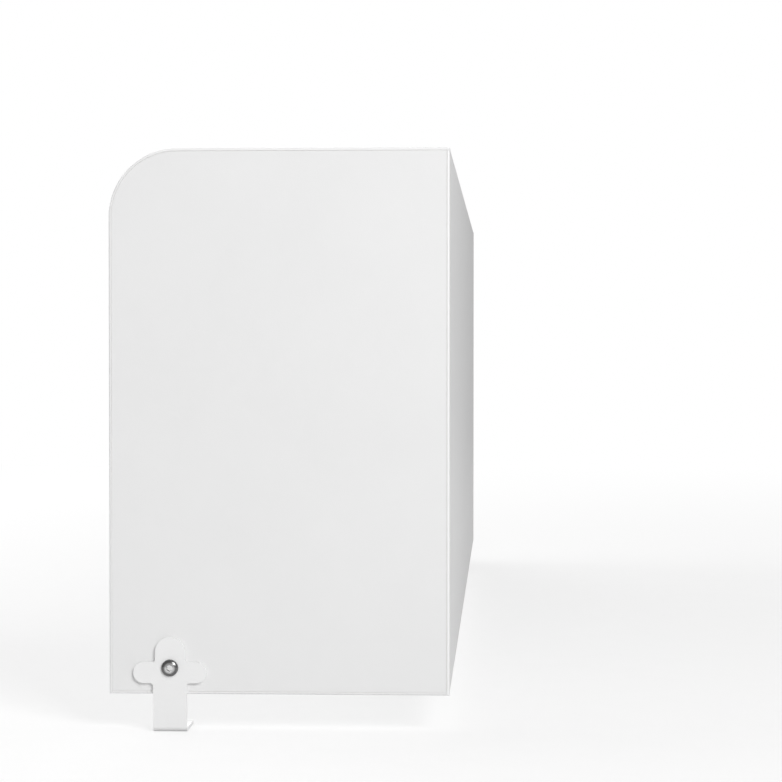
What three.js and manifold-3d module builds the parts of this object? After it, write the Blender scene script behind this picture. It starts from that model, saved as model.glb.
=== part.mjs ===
// Desk privacy panel: a white U-shaped screen that stands on a desktop and shuts off its back and both ends.
//
// A long back screen runs between two end wings. Each corner is a knock-down joint of dowels and cams.
// A flat steel bracket outside each wing reaches down the desktop's edge and turns in under it.
//
// Millimetres, +Z up. The origin is the middle of the back screen's foot, on the desktop. The back screen
// runs along Y. The wings run from it towards -X, so somebody at the desk faces +X. The right wing is at -Y.

import * as THREE from "three";
import { mergeVertices } from "three/addons/utils/BufferGeometryUtils.js";
import Module from "manifold-3d";

const wasm = await Module();
wasm.setup();

// Driving dimensions.
const DESK_LENGTH = 1400; // from one wing's outer face to the other's
const DESKTOP = 25; // thickness of the desktop that the brackets hold
const SCREEN_HEIGHT = 400;
const WING_DEPTH = 250; // from the back screen's rear face to the wing's free edge
const CORNER_RADIUS = 50; // the free top corner of each wing
const BOARD = 18;
const BAND = 2; // edge band
const GLUE_LINE = 0.1; // between a board and its edge band
const BUTT_GAP = 0.2; // between the back screen's end and the wing
const REST_GAP = 0.1; // between a bracket or a nut and the board it lies on
const CLEARANCE = 0.3; // round a piece in its hole
const CHAMFER = 0.5; // small broken edge on turned pieces

// Bracket: a steel plate cut to a three-lobed head on a straight arm.
const PLATE = 2.5;
const ARM_WIDTH = 25;
const TOP_LOBE_RADIUS = 11;
const TOP_LOBE_Z = 31;
const SIDE_LOBE_RADIUS = 7.75;
const SIDE_LOBE_REACH = 19.25; // from the bracket's middle to the lobe's centre
const SIDE_LOBE_Z = 16;
const LOBE_FILLET = 2;
const FLANGE_LENGTH = 40;
const FLANGE_CORNER = 3; // rounded corners at the flange's end
const BEND_RADIUS = 1.5; // inside the bend
const BRACKET_SETBACK = 45; // from the wing's free edge
const SCREW_HOLE_RADIUS = 2.4;
const SCREW_SINK_RADIUS = 4.6;
const SCREW_SINK_DEPTH = 2;
const SCREW_PITCH = 16;
const STUD_RADIUS = 2; // welded stud behind each side lobe, which stops the wing turning on its bolt
const STUD_LENGTH = 7.5;

// M6 button-head bolt through the bracket, and the flanged sleeve nut that it screws into.
const BOLT_Z = 19.5;
const BOLT_RADIUS = 2.7;
const BOLT_LENGTH = 16;
const BOLT_HEAD_RADIUS = 6.2;
const BOLT_HEAD_HEIGHT = 3.3;
const BOLT_HEAD_RIM = 0.8; // the head's straight edge, below its dome
const BOLT_DOME_STEPS = 4;
const BOLT_POINT = 1; // length of the chamfered end
const HEX_KEY = 4; // across flats
const HEX_DEPTH = 2;
const NUT_RADIUS = 4.2;
const NUT_LENGTH = 15;
const NUT_FLANGE_RADIUS = 7;
const NUT_FLANGE = 1.3;
const NUT_FLOOR = 3; // metal between the thread and the flange's face

// Corner joints, at equal heights above and below the middle of the screen.
const CAM_RISE = 116; // from the middle of the screen to a cam
const DOWEL_RISE = 148;
const CAM_SETBACK = 34; // from the wing's inner face to the cam's axis
const CAM_POCKET_RADIUS = 7.5;
const CAM_POCKET_DEPTH = 13.9;
const CAM_LENGTH = 13.2;
const CAM_SINK = 0.2; // the cam's face below the board's
const CAM_CAVITY_LOCKED = 5.1; // radius of the hollow where it holds the bolt's head
const CAM_CAVITY_OPEN = 6.1;
const CAM_SLOT_HALF_HEIGHT = 2.6;
const CAM_SLOT_MARGIN = 35; // degrees of slot beyond the locked and the open position
const CAM_TURN = 180; // degrees from locked to open
const CAM_CROSS_WIDTH = 1.8;
const CAM_CROSS_REACH = 3.4;
const CAM_CROSS_DEPTH = 2.4;
const CAM_MARK_DEPTH = 0.5; // arrow that points to the opening
const CAM_MARK_TIP = 6; // from the cam's axis
const CAM_MARK_LENGTH = 1.6;
const CAM_MARK_HALF_WIDTH = 1.2;
const CAM_HEAD_ROOM = 0.5; // round the bolt's head, inside the cam

// Cam bolt: a thread in the wing, a shank in the back screen's end, and a neck and head in the cam.
const CAM_BOLT_THREAD_RADIUS = 2.5;
const CAM_BOLT_ROOT_RADIUS = 2;
const CAM_BOLT_THREAD_PITCH = 2.2;
const CAM_BOLT_THREAD_TURNS = 4;
const CAM_BOLT_DEPTH = 11.2; // in the wing
const CAM_BOLT_SHANK_RADIUS = 3.3;
const CAM_BOLT_NECK_RADIUS = 2.2;
const CAM_BOLT_HEAD_RADIUS = 3.2;
const CAM_BOLT_HEAD_UNDER = 4.8; // from the cam's axis to the underside of the head
const CAM_BOLT_HEAD_TOP = 1.8; // from the cam's axis to the end of the head
const CAM_BOLT_TAPER = 1; // length of each cone on the cam bolt

const DOWEL_RADIUS = 4;
const DOWEL_IN_WING = 11.8;
const DOWEL_IN_SCREEN = 18;
const DOWEL_CHAMFER = 1;

const ROUND = 24; // segments in a full circle
const CAM_ROUND = 32; // the same, for the cams and their pockets
const CORNER_STEPS = 12; // segments in a wing's rounded corner
const OVERRUN = 1; // how far a cutting tool runs past the face that it opens
const SCREEN_FRONT = -BOARD / 2; // the face towards the person at the desk
const SCREEN_REAR = BOARD / 2;
const FREE_EDGE = SCREEN_REAR - WING_DEPTH;
const WING_OUTER = -DESK_LENGTH / 2;
const WING_INNER = WING_OUTER + BOARD;
const SCREEN_END = WING_INNER + BUTT_GAP;
const BAND_INSET = BAND + GLUE_LINE; // from the finished edge to the board
const BRACKET_X = FREE_EDGE + BRACKET_SETBACK;
const JOINT_LEVELS = { lower: -1, upper: 1 };

const MELAMINE = { color: 0xe6e6e6, roughness: 0.55, metalness: 0 };
const EDGE_BAND = { color: 0xeeeeee, roughness: 0.45, metalness: 0 };
const POWDER_COAT = { color: 0xeaeaea, roughness: 0.5, metalness: 0.1 };
const CHROME = { color: 0xbababa, roughness: 0.2, metalness: 1 };
const ZINC = { color: 0xa6a6a6, roughness: 0.4, metalness: 0.9 };
const BEECH = { color: 0xcfa878, roughness: 0.7, metalness: 0 };

// A closed geometry as a solid, for cutting and joining.
function solidOf(geometry) {
  const bare = geometry.clone();
  bare.deleteAttribute("normal");
  bare.deleteAttribute("uv");
  const merged = mergeVertices(bare, 1e-4);
  return new wasm.Manifold(
    new wasm.Mesh({
      numProp: 3,
      vertProperties: merged.attributes.position.array,
      triVerts: new Uint32Array(merged.index.array),
    }),
  );
}

function geometryOf(solid) {
  const { vertProperties, triVerts } = solid.getMesh();
  const geometry = new THREE.BufferGeometry();
  geometry.setAttribute("position", new THREE.BufferAttribute(vertProperties, 3));
  geometry.setIndex(new THREE.BufferAttribute(triVerts, 1));
  geometry.computeVertexNormals();
  return geometry;
}

function cut(body, tools) {
  const cutAway = (solid, tool) => solid.subtract(solidOf(tool));
  return geometryOf(tools.reduce(cutAway, solidOf(body)));
}

function join(parts) {
  const solids = parts.map(solidOf);
  return geometryOf(solids.reduce((whole, solid) => whole.add(solid)));
}

function overlapOf(first, second) {
  return geometryOf(solidOf(first).intersect(solidOf(second)));
}

// The shape on the other side of the plane y = 0, with its faces still turned outwards.
function mirrored(geometry) {
  const copy = geometry.clone().scale(1, -1, 1);
  const corners = copy.index.array;
  for (let i = 0; i < corners.length; i += 3) {
    [corners[i + 1], corners[i + 2]] = [corners[i + 2], corners[i + 1]];
  }
  return copy;
}

function cylinderAlongY(radius, x, z, yLow, yHigh) {
  const rod = new THREE.CylinderGeometry(radius, radius, yHigh - yLow, ROUND);
  return rod.translate(x, (yLow + yHigh) / 2, z);
}

function hexAlongY(acrossFlats, x, z, yLow, yHigh) {
  const radius = acrossFlats / Math.sqrt(3);
  const hex = new THREE.CylinderGeometry(radius, radius, yHigh - yLow, 6);
  return hex.translate(x, (yLow + yHigh) / 2, z);
}

// A profile of [radius, y] points, turned about the line (x, z).
function turnedAlongY(profile, x, y, z) {
  const points = profile.map(([radius, along]) => new THREE.Vector2(radius, along));
  return new THREE.LatheGeometry(points, ROUND).translate(x, y, z);
}

function block(low, high) {
  const size = high.map((value, axis) => value - low[axis]);
  const middle = high.map((value, axis) => (value + low[axis]) / 2);
  return new THREE.BoxGeometry(...size).translate(...middle);
}

// An outline drawn in X and Z, given thickness from yLow to yHigh.
function slab(outline, yLow, yHigh, curveSegments) {
  const options = { depth: yHigh - yLow, bevelEnabled: false, curveSegments };
  const flat = new THREE.ExtrudeGeometry(outline, options);
  return flat.rotateX(Math.PI / 2).translate(0, yHigh, 0);
}

// Heights of the two cams, or of the two dowels, in a corner.
function jointHeight(level, rise) {
  return SCREEN_HEIGHT / 2 + JOINT_LEVELS[level] * rise;
}

function levelNames() {
  return Object.keys(JOINT_LEVELS);
}

// The wing's side view from `foot` up its free edge, round the corner and along the top to `rear`,
// on a line that runs `inset` inside the finished outline.
function traceWing(path, inset, foot, rear) {
  const left = FREE_EDGE + inset;
  const top = SCREEN_HEIGHT - inset;
  const centreX = FREE_EDGE + CORNER_RADIUS;
  const centreZ = SCREEN_HEIGHT - CORNER_RADIUS;
  path.moveTo(left, foot);
  path.lineTo(left, centreZ);
  path.absarc(centreX, centreZ, CORNER_RADIUS - inset, Math.PI, Math.PI / 2, true);
  path.lineTo(rear, top);
}

function wingBoard() {
  const rear = SCREEN_REAR - BAND_INSET;
  const outline = new THREE.Shape();
  traceWing(outline, BAND_INSET, BAND_INSET, rear);
  outline.lineTo(rear, BAND_INSET);
  outline.closePath();
  const holes = [
    cylinderAlongY(NUT_RADIUS + CLEARANCE, BRACKET_X, BOLT_Z, WING_OUTER - OVERRUN, WING_INNER + OVERRUN),
    ...[-1, 1].map((side) => {
      const x = BRACKET_X + side * SIDE_LOBE_REACH;
      const floor = WING_OUTER + STUD_LENGTH + CLEARANCE;
      return cylinderAlongY(STUD_RADIUS + CLEARANCE, x, SIDE_LOBE_Z, WING_OUTER - OVERRUN, floor);
    }),
  ];
  for (const level of levelNames()) {
    const boltFloor = WING_INNER - CAM_BOLT_DEPTH - CLEARANCE;
    const dowelFloor = WING_INNER - DOWEL_IN_WING - CLEARANCE;
    const boltHole = CAM_BOLT_THREAD_RADIUS + CLEARANCE;
    const dowelHole = DOWEL_RADIUS + CLEARANCE;
    const mouth = WING_INNER + OVERRUN;
    holes.push(cylinderAlongY(boltHole, 0, jointHeight(level, CAM_RISE), boltFloor, mouth));
    holes.push(cylinderAlongY(dowelHole, 0, jointHeight(level, DOWEL_RISE), dowelFloor, mouth));
  }
  return cut(slab(outline, WING_OUTER, WING_INNER, CORNER_STEPS), holes);
}

// One strip up the free edge, round the corner and along the top.
function wingFrontBand() {
  const outline = new THREE.Shape();
  traceWing(outline, 0, 0, SCREEN_REAR);
  outline.lineTo(SCREEN_REAR, SCREEN_HEIGHT - BAND);
  const centreX = FREE_EDGE + CORNER_RADIUS;
  const centreZ = SCREEN_HEIGHT - CORNER_RADIUS;
  outline.absarc(centreX, centreZ, CORNER_RADIUS - BAND, Math.PI / 2, Math.PI, false);
  outline.lineTo(FREE_EDGE + BAND, 0);
  outline.closePath();
  return join([slab(outline, WING_OUTER, WING_INNER, CORNER_STEPS)]);
}

function wingRearBand() {
  const low = [SCREEN_REAR - BAND, WING_OUTER, 0];
  const high = [SCREEN_REAR, WING_INNER, SCREEN_HEIGHT - BAND_INSET];
  return join([block(low, high)]);
}

function wingFootBand() {
  const low = [FREE_EDGE + BAND_INSET, WING_OUTER, 0];
  const high = [SCREEN_REAR - BAND_INSET, WING_INNER, BAND];
  return join([block(low, high)]);
}

function backScreenBoard() {
  const top = SCREEN_HEIGHT - BAND_INSET;
  const board = block([SCREEN_FRONT, SCREEN_END, BAND_INSET], [SCREEN_REAR, -SCREEN_END, top]);
  const holes = [];
  for (const level of levelNames()) {
    const camHeight = jointHeight(level, CAM_RISE);
    const camY = WING_INNER + CAM_SETBACK;
    const pocketReach = CAM_POCKET_DEPTH + OVERRUN;
    const pocket = new THREE.CylinderGeometry(CAM_POCKET_RADIUS, CAM_POCKET_RADIUS, pocketReach, CAM_ROUND);
    pocket.rotateZ(Math.PI / 2);
    pocket.translate(SCREEN_FRONT - OVERRUN + pocketReach / 2, camY, camHeight);
    const boltHole = CAM_BOLT_SHANK_RADIUS + CLEARANCE;
    const dowelHole = DOWEL_RADIUS + CLEARANCE;
    const dowelFloor = WING_INNER + DOWEL_IN_SCREEN + CLEARANCE;
    const mouth = WING_INNER - OVERRUN;
    const oneEnd = [
      join([pocket]),
      join([cylinderAlongY(boltHole, 0, camHeight, mouth, camY)]),
      join([cylinderAlongY(dowelHole, 0, jointHeight(level, DOWEL_RISE), mouth, dowelFloor)]),
    ];
    holes.push(...oneEnd, ...oneEnd.map(mirrored));
  }
  return cut(board, holes);
}

// The band along the back screen's top or foot, from z = bottom upwards.
function backScreenBand(bottom) {
  return join([block([SCREEN_FRONT, SCREEN_END, bottom], [SCREEN_REAR, -SCREEN_END, bottom + BAND])]);
}

// The bracket's front view above the desktop: a straight arm, two side lobes and a top lobe.
function bracketHead() {
  const arm = ARM_WIDTH / 2;
  const lobeLow = SIDE_LOBE_Z - SIDE_LOBE_RADIUS;
  const lobeHigh = SIDE_LOBE_Z + SIDE_LOBE_RADIUS;
  const quarter = Math.PI / 2;
  const fillet = LOBE_FILLET;
  const outline = new THREE.Shape();
  outline.moveTo(-arm, 0);
  outline.lineTo(arm, 0);
  outline.absarc(arm + fillet, lobeLow - fillet, fillet, 2 * quarter, quarter, true);
  outline.absarc(SIDE_LOBE_REACH, SIDE_LOBE_Z, SIDE_LOBE_RADIUS, -quarter, quarter, false);
  outline.absarc(TOP_LOBE_RADIUS + fillet, lobeHigh + fillet, fillet, -quarter, -2 * quarter, true);
  outline.absarc(0, TOP_LOBE_Z, TOP_LOBE_RADIUS, 0, 2 * quarter, false);
  outline.absarc(-TOP_LOBE_RADIUS - fillet, lobeHigh + fillet, fillet, 0, -quarter, true);
  outline.absarc(-SIDE_LOBE_REACH, SIDE_LOBE_Z, SIDE_LOBE_RADIUS, quarter, 3 * quarter, false);
  outline.absarc(-arm - fillet, lobeLow - fillet, fillet, quarter, 0, true);
  outline.closePath();
  return slab(outline, WING_OUTER - REST_GAP - PLATE, WING_OUTER - REST_GAP, ROUND / 2);
}

// The arm's side view in Y and Z: down the desktop's edge, round the bend and in under the desktop.
function bracketArm() {
  const inside = WING_OUTER - REST_GAP;
  const outside = inside - PLATE;
  const flangeTop = -DESKTOP;
  const bendY = inside + BEND_RADIUS;
  const bendZ = flangeTop + BEND_RADIUS;
  const turn = BEND_RADIUS + PLATE;
  const outline = new THREE.Shape();
  outline.moveTo(inside, SIDE_LOBE_Z);
  outline.lineTo(outside, SIDE_LOBE_Z);
  outline.absarc(bendY, bendZ, turn, Math.PI, 1.5 * Math.PI, false);
  outline.lineTo(outside + FLANGE_LENGTH, flangeTop - PLATE);
  outline.lineTo(outside + FLANGE_LENGTH, flangeTop);
  outline.absarc(bendY, bendZ, BEND_RADIUS, 1.5 * Math.PI, Math.PI, true);
  outline.closePath();
  const options = { depth: ARM_WIDTH, bevelEnabled: false, curveSegments: ROUND / 4 };
  const strip = new THREE.ExtrudeGeometry(outline, options);
  const acrossX = new THREE.Matrix4().makeBasis(
    new THREE.Vector3(0, 1, 0),
    new THREE.Vector3(0, 0, 1),
    new THREE.Vector3(1, 0, 0),
  );
  strip.applyMatrix4(acrossX).translate(-ARM_WIDTH / 2, 0, 0);
  return overlapOf(strip, armLimits(outside + FLANGE_LENGTH));
}

// The arm's width and length seen from above, with the flange's two corners rounded.
function armLimits(end) {
  const arm = ARM_WIDTH / 2;
  const corner = FLANGE_CORNER;
  const outline = new THREE.Shape();
  outline.moveTo(-arm, WING_OUTER - 2 * PLATE);
  outline.lineTo(arm, WING_OUTER - 2 * PLATE);
  outline.absarc(arm - corner, end - corner, corner, 0, Math.PI / 2, false);
  outline.absarc(corner - arm, end - corner, corner, Math.PI / 2, Math.PI, false);
  outline.closePath();
  const options = { depth: DESKTOP + 2 * SIDE_LOBE_Z, bevelEnabled: false, curveSegments: ROUND / 4 };
  return new THREE.ExtrudeGeometry(outline, options).translate(0, 0, -DESKTOP - 2 * PLATE);
}

function countersunkHole(y) {
  const underside = -DESKTOP - PLATE;
  const profile = [
    [0, -OVERRUN],
    [SCREW_SINK_RADIUS, -OVERRUN],
    [SCREW_SINK_RADIUS, 0],
    [SCREW_HOLE_RADIUS, SCREW_SINK_DEPTH],
    [SCREW_HOLE_RADIUS, PLATE + OVERRUN],
    [0, PLATE + OVERRUN],
  ];
  return turnedAlongY(profile, 0, 0, 0).rotateX(Math.PI / 2).translate(0, y, underside);
}

function weldStud(side) {
  const profile = [
    [0, -PLATE / 2],
    [STUD_RADIUS, -PLATE / 2],
    [STUD_RADIUS, STUD_LENGTH - CHAMFER],
    [STUD_RADIUS - CHAMFER, STUD_LENGTH],
    [0, STUD_LENGTH],
  ];
  return turnedAlongY(profile, side * SIDE_LOBE_REACH, WING_OUTER - REST_GAP, SIDE_LOBE_Z);
}

function bracket() {
  const inside = WING_OUTER - REST_GAP;
  const flangeMiddle = inside - PLATE + FLANGE_LENGTH / 2 + BEND_RADIUS;
  const whole = join([bracketHead(), bracketArm(), weldStud(-1), weldStud(1)]);
  const outside = inside - PLATE;
  const boltHole = cylinderAlongY(BOLT_RADIUS + CLEARANCE, 0, BOLT_Z, outside - OVERRUN, inside + OVERRUN);
  const screwHoles = [-1, 1].map((side) => countersunkHole(flangeMiddle + (side * SCREW_PITCH) / 2));
  return cut(whole, [boltHole, ...screwHoles]).translate(BRACKET_X, 0, 0);
}

// The underside of the head is at y = 0, and the shank points towards +Y.
function bracketBolt() {
  const rimY = -BOLT_HEAD_RIM;
  const domeHeight = BOLT_HEAD_HEIGHT - BOLT_HEAD_RIM;
  const dome = [];
  for (let step = 0; step <= BOLT_DOME_STEPS; step++) {
    const angle = (step / BOLT_DOME_STEPS) * (Math.PI / 2);
    dome.push([BOLT_HEAD_RADIUS * Math.sin(angle), rimY - domeHeight * Math.cos(angle)]);
  }
  const profile = [
    ...dome,
    [BOLT_HEAD_RADIUS, 0],
    [BOLT_RADIUS, 0],
    [BOLT_RADIUS, BOLT_LENGTH - BOLT_POINT],
    [BOLT_RADIUS - BOLT_POINT, BOLT_LENGTH],
    [0, BOLT_LENGTH],
  ];
  const underHead = WING_OUTER - 2 * REST_GAP - PLATE;
  const blank = turnedAlongY(profile, BRACKET_X, underHead, BOLT_Z);
  const socketFloor = underHead - BOLT_HEAD_HEIGHT + HEX_DEPTH;
  const socketMouth = socketFloor - HEX_DEPTH - OVERRUN;
  return cut(blank, [hexAlongY(HEX_KEY, BRACKET_X, BOLT_Z, socketMouth, socketFloor)]);
}

// The flange lies on the wing's inner face, and the body reaches through the wing to the bolt.
function sleeveNut() {
  const face = NUT_FLANGE;
  const profile = [
    [0, -NUT_LENGTH],
    [NUT_RADIUS - CHAMFER, -NUT_LENGTH],
    [NUT_RADIUS, -NUT_LENGTH + CHAMFER],
    [NUT_RADIUS, 0],
    [NUT_FLANGE_RADIUS, 0],
    [NUT_FLANGE_RADIUS, face / 2],
    [NUT_FLANGE_RADIUS - face / 2, face],
    [0, face],
  ];
  const rest = WING_INNER + REST_GAP;
  const threadFloor = rest + NUT_FLANGE - NUT_FLOOR;
  return cut(turnedAlongY(profile, BRACKET_X, rest, BOLT_Z), [
    cylinderAlongY(BOLT_RADIUS + CLEARANCE, BRACKET_X, BOLT_Z, rest - NUT_LENGTH - OVERRUN, threadFloor),
    hexAlongY(HEX_KEY, BRACKET_X, BOLT_Z, threadFloor - OVERRUN, rest + NUT_FLANGE + OVERRUN),
  ]);
}

// Lies along Y, with y = 0 on the wing's inner face.
function camBolt(level) {
  const thread = [];
  for (let turn = CAM_BOLT_THREAD_TURNS; turn > 0; turn--) {
    const crest = -turn * CAM_BOLT_THREAD_PITCH;
    thread.push([CAM_BOLT_THREAD_RADIUS, crest]);
    thread.push([CAM_BOLT_ROOT_RADIUS, crest + CAM_BOLT_THREAD_PITCH / 2]);
  }
  const camEdge = CAM_SETBACK - CAM_POCKET_RADIUS;
  const headUnder = CAM_SETBACK - CAM_BOLT_HEAD_UNDER;
  const headTop = CAM_SETBACK - CAM_BOLT_HEAD_TOP;
  const profile = [
    [0, -CAM_BOLT_DEPTH],
    [CAM_BOLT_ROOT_RADIUS - CAM_BOLT_TAPER, -CAM_BOLT_DEPTH],
    [CAM_BOLT_ROOT_RADIUS, -CAM_BOLT_DEPTH + CAM_BOLT_TAPER],
    ...thread,
    [CAM_BOLT_ROOT_RADIUS, CLEARANCE],
    [CAM_BOLT_SHANK_RADIUS, CLEARANCE],
    [CAM_BOLT_SHANK_RADIUS, camEdge - CLEARANCE - CAM_BOLT_TAPER],
    [CAM_BOLT_NECK_RADIUS, camEdge - CLEARANCE],
    [CAM_BOLT_NECK_RADIUS, headUnder],
    [CAM_BOLT_HEAD_RADIUS, headUnder + CAM_BOLT_TAPER],
    [CAM_BOLT_HEAD_RADIUS, headTop - CHAMFER],
    [CAM_BOLT_HEAD_RADIUS - CHAMFER, headTop],
    [0, headTop],
  ];
  return join([turnedAlongY(profile, 0, WING_INNER, jointHeight(level, CAM_RISE))]);
}

function dowel(level) {
  const low = -DOWEL_IN_WING;
  const high = DOWEL_IN_SCREEN;
  const profile = [
    [0, low],
    [DOWEL_RADIUS - DOWEL_CHAMFER, low],
    [DOWEL_RADIUS, low + DOWEL_CHAMFER],
    [DOWEL_RADIUS, high - DOWEL_CHAMFER],
    [DOWEL_RADIUS - DOWEL_CHAMFER, high],
    [0, high],
  ];
  return join([turnedAlongY(profile, 0, WING_INNER, jointHeight(level, DOWEL_RISE))]);
}

// The cam's hollow. Its radius grows from the locked to the open position, and falls back beyond it.
function camCavityOutline() {
  const outline = new THREE.Shape();
  const steps = CAM_ROUND;
  for (let step = 0; step < steps; step++) {
    const degrees = (step * 360) / steps;
    const opened = 1 - Math.abs(degrees - CAM_TURN) / CAM_TURN;
    const radius = THREE.MathUtils.lerp(CAM_CAVITY_LOCKED, CAM_CAVITY_OPEN, opened);
    const angle = THREE.MathUtils.degToRad(degrees);
    const place = step === 0 ? "moveTo" : "lineTo";
    outline[place](radius * Math.cos(angle), radius * Math.sin(angle));
  }
  outline.closePath();
  return outline;
}

// The slot in the cam's wall that lets the bolt's neck pass while the cam turns.
function camSlotOutline() {
  const outer = CAM_POCKET_RADIUS + OVERRUN;
  const inner = CAM_BOLT_HEAD_RADIUS;
  const start = THREE.MathUtils.degToRad(-CAM_SLOT_MARGIN);
  const end = THREE.MathUtils.degToRad(CAM_TURN + CAM_SLOT_MARGIN);
  const outline = new THREE.Shape();
  outline.absarc(0, 0, outer, start, end, false);
  outline.absarc(0, 0, inner, end, start, true);
  outline.closePath();
  return outline;
}

function camMarkOutline() {
  const base = CAM_MARK_TIP - CAM_MARK_LENGTH;
  const outline = new THREE.Shape();
  outline.moveTo(-CAM_MARK_TIP, 0);
  outline.lineTo(-base, CAM_MARK_HALF_WIDTH);
  outline.lineTo(-base, -CAM_MARK_HALF_WIDTH);
  outline.closePath();
  return outline;
}

function prism(outline, zLow, zHigh) {
  const options = { depth: zHigh - zLow, bevelEnabled: false, curveSegments: CAM_ROUND };
  return new THREE.ExtrudeGeometry(outline, options).translate(0, 0, zLow);
}

// The cam's face is at z = 0 and its axis is Z, into the board. When it is locked, the bolt comes from +X.
function cam() {
  const radius = CAM_POCKET_RADIUS - CLEARANCE;
  const boltDepth = BOARD / 2 - CAM_SINK;
  const headRoom = CAM_BOLT_HEAD_RADIUS + CAM_HEAD_ROOM;
  const cavityTop = boltDepth - headRoom;
  const beyond = CAM_LENGTH + OVERRUN;
  const crossHalf = CAM_CROSS_WIDTH / 2;
  const drum = new THREE.CylinderGeometry(radius, radius, CAM_LENGTH, CAM_ROUND);
  drum.rotateX(Math.PI / 2).translate(0, 0, CAM_LENGTH / 2);
  return cut(drum, [
    prism(camCavityOutline(), cavityTop, beyond),
    prism(camSlotOutline(), boltDepth - CAM_SLOT_HALF_HEIGHT, boltDepth + CAM_SLOT_HALF_HEIGHT),
    block([-radius - OVERRUN, -headRoom, cavityTop], [-headRoom, headRoom, beyond]),
    block([-CAM_CROSS_REACH, -crossHalf, -OVERRUN], [CAM_CROSS_REACH, crossHalf, CAM_CROSS_DEPTH]),
    block([-crossHalf, -CAM_CROSS_REACH, -OVERRUN], [crossHalf, CAM_CROSS_REACH, CAM_CROSS_DEPTH]),
    prism(camMarkOutline(), -OVERRUN, CAM_MARK_DEPTH),
  ]);
}

function named(name, geometry, finish) {
  const mesh = new THREE.Mesh(geometry, new THREE.MeshStandardMaterial(finish));
  mesh.name = name;
  return mesh;
}

// Everything at one end that the other end has as its mirror image.
function endPieces() {
  const pieces = [
    ["wing_board", wingBoard(), MELAMINE],
    ["wing_front_band", wingFrontBand(), EDGE_BAND],
    ["wing_rear_band", wingRearBand(), EDGE_BAND],
    ["wing_foot_band", wingFootBand(), EDGE_BAND],
    ["bracket", bracket(), POWDER_COAT],
    ["bracket_bolt", bracketBolt(), CHROME],
    ["sleeve_nut", sleeveNut(), CHROME],
  ];
  for (const level of levelNames()) {
    pieces.push([`${level}_cam_bolt`, camBolt(level), ZINC]);
    pieces.push([`${level}_dowel`, dowel(level), BEECH]);
  }
  return pieces;
}

// A cam is the same casting at both ends, turned so that its locked position faces the bolt.
function placedCam(name, end, level) {
  const mesh = named(name, cam(), ZINC);
  mesh.setRotationFromMatrix(
    new THREE.Matrix4().makeBasis(
      new THREE.Vector3(0, end, 0),
      new THREE.Vector3(0, 0, end),
      new THREE.Vector3(1, 0, 0),
    ),
  );
  const fromMiddle = -WING_INNER - CAM_SETBACK;
  mesh.position.set(SCREEN_FRONT + CAM_SINK, end * fromMiddle, jointHeight(level, CAM_RISE));
  return mesh;
}

const privacyPanel = new THREE.Group();
privacyPanel.add(named("back_screen_board", backScreenBoard(), MELAMINE));
privacyPanel.add(named("back_screen_top_band", backScreenBand(SCREEN_HEIGHT - BAND), EDGE_BAND));
privacyPanel.add(named("back_screen_foot_band", backScreenBand(0), EDGE_BAND));
for (const [name, geometry, finish] of endPieces()) {
  privacyPanel.add(named(`right_${name}`, geometry, finish));
  privacyPanel.add(named(`left_${name}`, mirrored(geometry), finish));
}
for (const level of levelNames()) {
  privacyPanel.add(placedCam(`right_${level}_cam`, -1, level));
  privacyPanel.add(placedCam(`left_${level}_cam`, 1, level));
}

export default privacyPanel;
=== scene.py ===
"""A white U-shaped desk privacy panel on a pale floor: its finishes, fine edges, studio light and camera."""

import math

import bmesh
import bpy
from mathutils import Matrix, Vector

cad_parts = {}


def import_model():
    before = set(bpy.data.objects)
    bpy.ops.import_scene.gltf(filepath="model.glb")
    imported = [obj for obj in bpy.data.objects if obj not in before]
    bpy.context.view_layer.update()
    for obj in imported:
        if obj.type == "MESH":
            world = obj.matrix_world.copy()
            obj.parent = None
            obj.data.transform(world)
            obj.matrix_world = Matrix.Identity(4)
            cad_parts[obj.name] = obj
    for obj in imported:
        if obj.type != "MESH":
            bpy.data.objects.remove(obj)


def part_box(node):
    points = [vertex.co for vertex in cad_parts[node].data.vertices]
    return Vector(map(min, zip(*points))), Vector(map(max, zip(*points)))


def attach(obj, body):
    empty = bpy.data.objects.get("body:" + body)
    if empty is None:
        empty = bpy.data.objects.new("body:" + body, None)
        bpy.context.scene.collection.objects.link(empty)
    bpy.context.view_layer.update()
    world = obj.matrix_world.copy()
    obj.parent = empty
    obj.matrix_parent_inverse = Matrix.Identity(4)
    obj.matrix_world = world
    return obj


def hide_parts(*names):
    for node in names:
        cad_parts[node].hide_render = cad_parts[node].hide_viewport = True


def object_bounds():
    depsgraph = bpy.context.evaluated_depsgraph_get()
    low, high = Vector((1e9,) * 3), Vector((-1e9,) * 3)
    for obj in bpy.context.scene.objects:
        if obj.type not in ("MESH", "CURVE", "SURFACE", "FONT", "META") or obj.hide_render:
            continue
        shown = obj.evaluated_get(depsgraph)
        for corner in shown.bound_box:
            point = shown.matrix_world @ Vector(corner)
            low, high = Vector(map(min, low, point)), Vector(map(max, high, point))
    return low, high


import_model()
CAD_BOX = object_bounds()

MM = 0.001
SIDES = {"right": -1, "left": 1}  # the side of the desk, and which way it lies along Y
LEVELS = ("lower", "upper")
SCREEN_BODY = "screen"

# Boards and edge bands
BAND = 2 * MM
BAND_EDGE_RADIUS = 1.4 * MM
CORNER_RADIUS = 50 * MM
CORNER_STEPS = 40
ROUNDING_STEPS = 6
FINE_EDGE = 0.15 * MM  # the broken edge of a board, a band and a small metal part
BROAD_FACE = 0.25  # a board's cut faces point less than this along its thickness
MERGE_GAP = 0.002 * MM

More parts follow.
